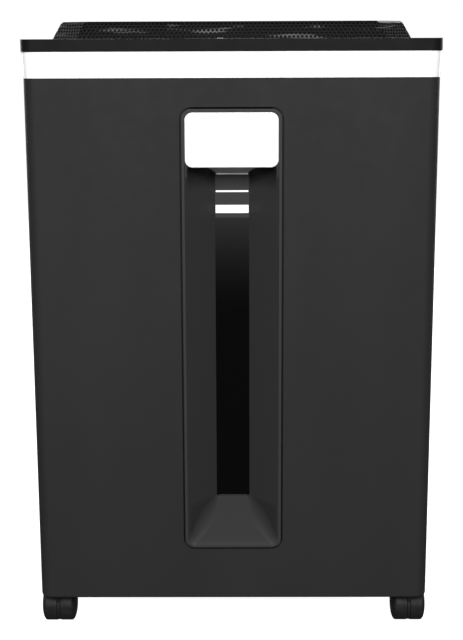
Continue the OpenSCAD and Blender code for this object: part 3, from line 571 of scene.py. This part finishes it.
def window_group():
    """Smoked window, its sill, the stepped floor above it, the white bar, and two pale ledges that are
    painted highlights on the step edges.
    """
    half = WINDOW_W / 2
    window = face_bar("smoked_window", half + 2.4, WINDOW_LOW - 2.8, WINDOW_HIGH - 0.1,
                      recess_deep, recess_deep + 2.2, "dark_window", 0.3)
    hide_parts("bin_window")
    face_bar("window_sill", half - 2.2, WINDOW_LOW + 0.1, WINDOW_LOW + 1.3,
             recess_deep - 0.9, recess_deep + 0.4, "liner_black")
    lower = face_bar("floor_step_lower", half + 1.9, WINDOW_HIGH + 0.1, LEDGE_LOW - 0.1,
                     recess_deep, recess_deep + 2.4, "liner_black")
    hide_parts("window_ledges")
    face_bar("floor_step_upper", half + 1.9, LEDGE_LOW + 0.1, FUNNEL_FLOOR_TOP + 2.9,
             recess_deep + 2, recess_deep + 4.4, "tub_plastic")
    face_bar("window_bar", half - 0.5, WINDOW_HIGH + 5, WINDOW_HIGH + 13.6,
             recess_deep - 1.6, recess_deep + 0.3, "ledge_trim")
    # Painted highlights: pale strips along the step edges where they catch the light
    face_bar("ledge_lower_painted_highlight", half - 0.7, LEDGE_LOW + 0.1, LEDGE_LOW + 1.9,
             recess_deep, recess_deep + 2.1, "ledge_trim", 0.2)
    face_bar("ledge_upper_painted_highlight", half - 0.8, FUNNEL_FLOOR_TOP - 1.4, FUNNEL_FLOOR_TOP - 0.1,
             recess_deep + 0.4, recess_deep + 2.1, "ledge_trim", 0.2)


# ---------- perforated lid ----------


def clip(polygon, edges):
    """Clips a convex polygon by half planes given as (point, inward normal)."""
    for at, normal in edges:
        kept = []
        for k, here in enumerate(polygon):
            before = polygon[k - 1]
            side_here = (here - at).dot(normal)
            side_before = (before - at).dot(normal)
            if (side_here < 0) != (side_before < 0):
                share = side_before / (side_before - side_here)
                kept.append(before.lerp(here, share))
            if side_here >= 0:
                kept.append(here)
        polygon = kept
        if len(polygon) < 3:
            return []
    return polygon


def perforate(corners, pitch):
    """Fills a convex outline with a honeycomb, cut off at its edges: returns points and sheet faces."""
    middle = sum(corners, Vector((0, 0))) / len(corners)
    edges = []
    for k, corner in enumerate(corners):
        along = (corners[(k + 1) % len(corners)] - corner).normalized()
        normal = Vector((-along.y, along.x))
        edges.append((corner, normal if (middle - corner).dot(normal) > 0 else -normal))
    points, index, faces = [], {}, []

    def point(p):
        key = (round(p.x, 3), round(p.y, 3))
        if key not in index:
            index[key] = len(points)
            points.append(p)
        return index[key]

    cell = pitch / math.sqrt(3)
    row = pitch * math.sqrt(3) / 2
    hexagon = [Vector((math.sin(math.radians(60 * k)), math.cos(math.radians(60 * k)))) for k in range(6)]
    low = Vector((min(c.x for c in corners), min(c.y for c in corners)))
    high = Vector((max(c.x for c in corners), max(c.y for c in corners)))
    for j in range(-1, int((high.y - low.y) / row) + 2):
        for i in range(-1, int((high.x - low.x) / pitch) + 2):
            centre = low + Vector(((i + 0.5 * (j % 2)) * pitch, (j + 0.5) * row))
            reach = min((centre - at).dot(normal) for at, normal in edges)
            if reach < -cell:
                continue
            outside = [centre + h * cell for h in hexagon]
            inside = [centre + h * cell * HOLE_SHARE for h in hexagon]
            for k in range(6):
                n = (k + 1) % 6
                web = [outside[k], outside[n], inside[n], inside[k]]
                ring = [point(p) for p in (clip(web, edges) if reach < cell * 1.001 else web)]
                ring = [v for i, v in enumerate(ring) if v != ring[i - 1]]
                if len(ring) > 2:
                    faces.append(ring)
    return points, faces


def boundary_edges(faces):
    """Directed edges that belong to one face only."""
    used = {}
    for face in faces:
        for k, v in enumerate(face):
            edge = (face[k - 1], v)
            used[edge] = used.get(edge, 0) + 1
    return [edge for edge in used if (edge[1], edge[0]) not in used]


def sheet_panel(points, faces, outer_at, inner_at):
    """A sheet with thickness: outer_at and inner_at place a flat point on its two sides."""
    count = len(points)
    verts = [outer_at(p) for p in points] + [inner_at(p) for p in points]
    solid = [list(f) for f in faces] + [[v + count for v in reversed(f)] for f in faces]
    solid += [[b, a, a + count, b + count] for a, b in boundary_edges(faces)]
    return verts, solid


def lid_outline(half_x, front, back):
    """Plan of the lid: deep chamfers at the front corners, shallow ones at the back."""
    deep, small = LID_CHAMFER, LID_CHAMFER / 2
    return [Vector(p) for p in (
        (-half_x + deep, front), (half_x - deep, front), (half_x, front + deep), (half_x, back - small),
        (half_x - small, back), (-half_x + small, back), (-half_x, back - small), (-half_x, front + deep))]


def lid_levels(inset):
    """Outline and height of the lid's lower edge, fold and top, for one side of the sheet."""
    half, front, back = lid_high.x - inset, lid_low.y + inset, lid_high.y - inset
    edge = lid_outline(half, front, back)
    fold = lid_outline(half - LID_SLOPE, front + LID_SLOPE, back - LID_BACK_SLOPE)
    top = lid_outline(half - LID_SLOPE - LID_FOLD_IN, front + LID_SLOPE + LID_FOLD_IN, back - LID_BACK_FOLD)
    return [(edge, lid_low.z - LID_DROP), (fold, lid_high.z - LID_FOLD - inset), (top, lid_high.z - inset)]


def lid_top():
    """The flat perforated top."""
    outer, inner = lid_levels(0)[2], lid_levels(SHEET)[2]
    points, faces = perforate(outer[0], TOP_PITCH)
    middle = Vector((0, (outer[0][0].y + outer[0][4].y) / 2))
    shrink_x = inner[0][2].x / outer[0][2].x
    shrink_y = (inner[0][4].y - inner[0][0].y) / (outer[0][4].y - outer[0][0].y)
    verts, solid = sheet_panel(
        points, faces,
        lambda p: (p.x, p.y, outer[1]),
        lambda p: (p.x * shrink_x, middle.y + (p.y - middle.y) * shrink_y, inner[1]))
    return make_object("lid_sheet_top", verts, solid, "perforated_black", "lid")


def lid_skirt():
    """Eight perforated slopes and the plain fold that joins them to the top."""
    outer, inner = lid_levels(0), lid_levels(SHEET)
    verts, faces = [], []
    for side in range(8):
        after = (side + 1) % 8

        def corners_of(levels, k):
            (low_plan, low_z), (high_plan, high_z) = levels[k], levels[k + 1]
            return [Vector((*low_plan[side], low_z)), Vector((*low_plan[after], low_z)),
                    Vector((*high_plan[after], high_z)), Vector((*high_plan[side], high_z))]

        shell = corners_of(outer, 0)
        lining = corners_of(inner, 0)
        right = (shell[1] - shell[0]).normalized()
        rise = shell[3] - shell[0]
        rise = (rise - right * rise.dot(right)).normalized()
        flat = [Vector(((c - shell[0]).dot(right), (c - shell[0]).dot(rise))) for c in shell]
        height = flat[2].y

        def placed(p, quad):
            up = p.y / height
            left = flat[0].lerp(flat[3], up).x
            end = flat[1].lerp(flat[2], up).x
            across = (p.x - left) / (end - left)
            return tuple(quad[0].lerp(quad[3], up).lerp(quad[1].lerp(quad[2], up), across))

        points, panel = perforate(flat, HOLE_PITCH)
        part, solid = sheet_panel(points, panel, lambda p: placed(p, shell), lambda p: placed(p, lining))
        faces += [[v + len(verts) for v in face] for face in solid]
        verts += part
        fold, fold_inner = corners_of(outer, 1), corners_of(inner, 1)
        start = len(verts)
        verts += [tuple(c) for c in fold + fold_inner]
        faces += [[start + v for v in face]
                  for face in ((0, 1, 2, 3), (7, 6, 5, 4), (0, 4, 5, 1), (3, 2, 6, 7))]
    make_object("lid_sheet_skirt", verts, faces, "perforated_black", "lid")


def lid_shade_sheet():
    """Thin dark sheet just inside the perforated slopes, put there as painted shade: it darkens what is seen
    through the holes.
    """
    (low_plan, low_z), (high_plan, high_z), _ = lid_levels(SHEET + SHADE_SHEET_GAP)
    low_inner, high_inner = (level[0] for level in lid_levels(SHEET + SHADE_SHEET_GAP + SHADE_SHEET)[:2])
    base = low_z + SHADE_SHEET_UP
    levels = ((low_plan, base), (high_plan, high_z), (high_inner, high_z), (low_inner, base))
    rings = [[(*point, z) for point in plan] for plan, z in levels]
    verts = [point for ring in rings for point in ring]
    # Painted shade: a dark sheet that blacks out what shows through the holes
    make_object("lid_shade_sheet", verts, band_faces(rings, True), "black_top", "lid")


def perforated_lid():
    """The perforated sheet and the dark sheet behind it that paints shade in its holes, in place of the plain
    CAD lid.
    """
    top = lid_top()
    lid_skirt()
    lid_shade_sheet()
    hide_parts("lid_mesh")


# ---------- studio ----------

STAGE_RADIUS = 30
WALL_HEIGHT = 6

# Name, place, target, width and height in metres, and power in watts
SOFT_BOXES = (
    ("key_light", (0, -3.4, 2.1), (0, -0.18, 0.35), 1.4, 1.2, 174),
    ("front_fill", (0, -3.2, 0.72), (0, -0.18, 0.45), 1.2, 0.3, 19),
    ("back_light", (0.2, 2.6, 2.0), (0, 0.18, 0.3), 2.0, 1.2, 36),
    ("left_light", (-2.3, 1.9, 1.0), (0, 0, 0.35), 1.0, 1.2, 45),
    ("right_light", (2.3, 1.9, 1.0), (0, 0, 0.35), 1.0, 1.2, 45),
    ("left_glint", (-2.4, 0.9, 2.1), (0, 0, 0.6), 1.0, 0.8, 6),
    ("right_glint", (2.4, 0.9, 2.1), (0, 0, 0.6), 1.0, 0.8, 4),
)


def stage_material(name, colour, near_glow, far_glow):
    """Pale matt surface that glows more with its distance from the object, so that it stays pale far away."""
    shader = Shader(name, colour, 0.9, Specular_IOR_Level=0.1)
    shader.surface.inputs["Emission Color"].default_value = (1, 1, 1, 1)
    distance = shader.node("ShaderNodeVectorMath", operation="LENGTH")
    shader.link(shader.place, distance.inputs[0])
    brightening = shader.spread(distance.outputs["Value"], near_glow, far_glow, 0.8, 4)
    shader.link(brightening, shader.surface.inputs["Emission Strength"])
    shader.vary_colour(shader.noise(400, 2), 0.99, 1.01)
    return shader.material


def studio():
    """Pale floor, far pale wall, and the soft boxes."""
    bpy.ops.mesh.primitive_circle_add(vertices=128, radius=STAGE_RADIUS, fill_type="NGON", location=(0, 0, 0))
    floor = bpy.context.object
    floor.name = "floor"
    floor.data.materials.append(stage_material("floor_pale", (0.5, 0.5, 0.5), 0.93, 1))
    bpy.ops.mesh.primitive_cylinder_add(vertices=128, radius=STAGE_RADIUS - 0.1, depth=WALL_HEIGHT,
                                        end_fill_type="NOTHING", location=(0, 0, WALL_HEIGHT / 2))
    wall = bpy.context.object
    wall.name = "far_wall"
    wall.data.materials.append(stage_material("wall_pale", (0.5, 0.5, 0.5), 1, 1))
    for pale in (floor, wall):
        pale.visible_diffuse = False
        pale.visible_glossy = False
    for box in SOFT_BOXES:
        soft_box(*box)
    world = bpy.data.worlds.new("studio_air")
    world.use_nodes = True
    world.node_tree.nodes["Background"].inputs["Color"].default_value = (1, 1, 1, 1)
    world.node_tree.nodes["Background"].inputs["Strength"].default_value = 0.1
    bpy.context.scene.world = world
    bpy.context.scene.view_settings.view_transform = "Standard"


def soft_box(name, at, target, width, height, power):
    """Area light at one point, aimed at another, that the camera can't see."""
    lamp = bpy.data.lights.new(name, "AREA")
    lamp.shape = "RECTANGLE"
    lamp.size = width
    lamp.size_y = height
    lamp.energy = power
    box = bpy.data.objects.new(name, lamp)
    box.location = at
    box.rotation_euler = (Vector(target) - Vector(at)).to_track_quat("-Z", "Y").to_euler()
    box.visible_camera = False
    bpy.context.scene.collection.objects.link(box)


def camera():
    """The camera of the front view, whose upright is turned slightly by the roll."""
    yaw, pitch, roll = (math.radians(a) for a in (CAMERA_YAW, CAMERA_PITCH, CAMERA_ROLL))
    forward = Vector((-math.sin(yaw) * math.cos(pitch), math.cos(yaw) * math.cos(pitch), -math.sin(pitch)))
    right = forward.cross(Vector((0, 0, 1))).normalized()
    up = right.cross(forward)
    across = right * math.cos(roll) + up * math.sin(roll)
    upward = up * math.cos(roll) - right * math.sin(roll)
    data = bpy.data.cameras.new("photo_camera")
    data.sensor_fit = "VERTICAL"
    data.sensor_height = SENSOR
    data.lens = CAMERA_LENS
    view = bpy.data.objects.new("photo_camera", data)
    turn = Matrix((across, upward, -forward)).transposed().to_4x4()
    view.matrix_world = Matrix.Translation(mm(*CAMERA_AT)) @ turn
    bpy.context.scene.collection.objects.link(view)
    bpy.context.scene.camera = view


# ---------- assembly ----------

# CAD nodes that keep their shape, with the radius of their rounded edges
ROUNDED_NODES = {
    "bin_front": 0.5, "cabinet_shell": 0.5, "head_band": 0.35, "top_cover": 0.8, "feed_tray": 0.4,
    "lid_frame": 0.3, "power_inlet": 0.4, "power_rocker": 0.4, "auto_button": 0.4, "reverse_button": 0.4,
    "rear_vent": 0.3, "cover_screws": 0.15, "bin_tub": 0.5, "base_plate": 0.3, "status_light": 0.2,
}

for node, obj in frame["nodes"].items():
    for material_slot in obj.material_slots:
        material_slot.material = MATERIALS[slots[node]]

for node, radius in ROUNDED_NODES.items():
    soften_cad(node, radius)
for corner in ("fl", "fr", "rl", "rr"):
    soften_cad("caster_hood_" + corner, 0.5)
    soften_cad("caster_wheels_" + corner, 0.3)

camera()
studio()
recess_liner()
handle_plate()
funnel_roof_painted_bounce()
window_group()
perforated_lid()
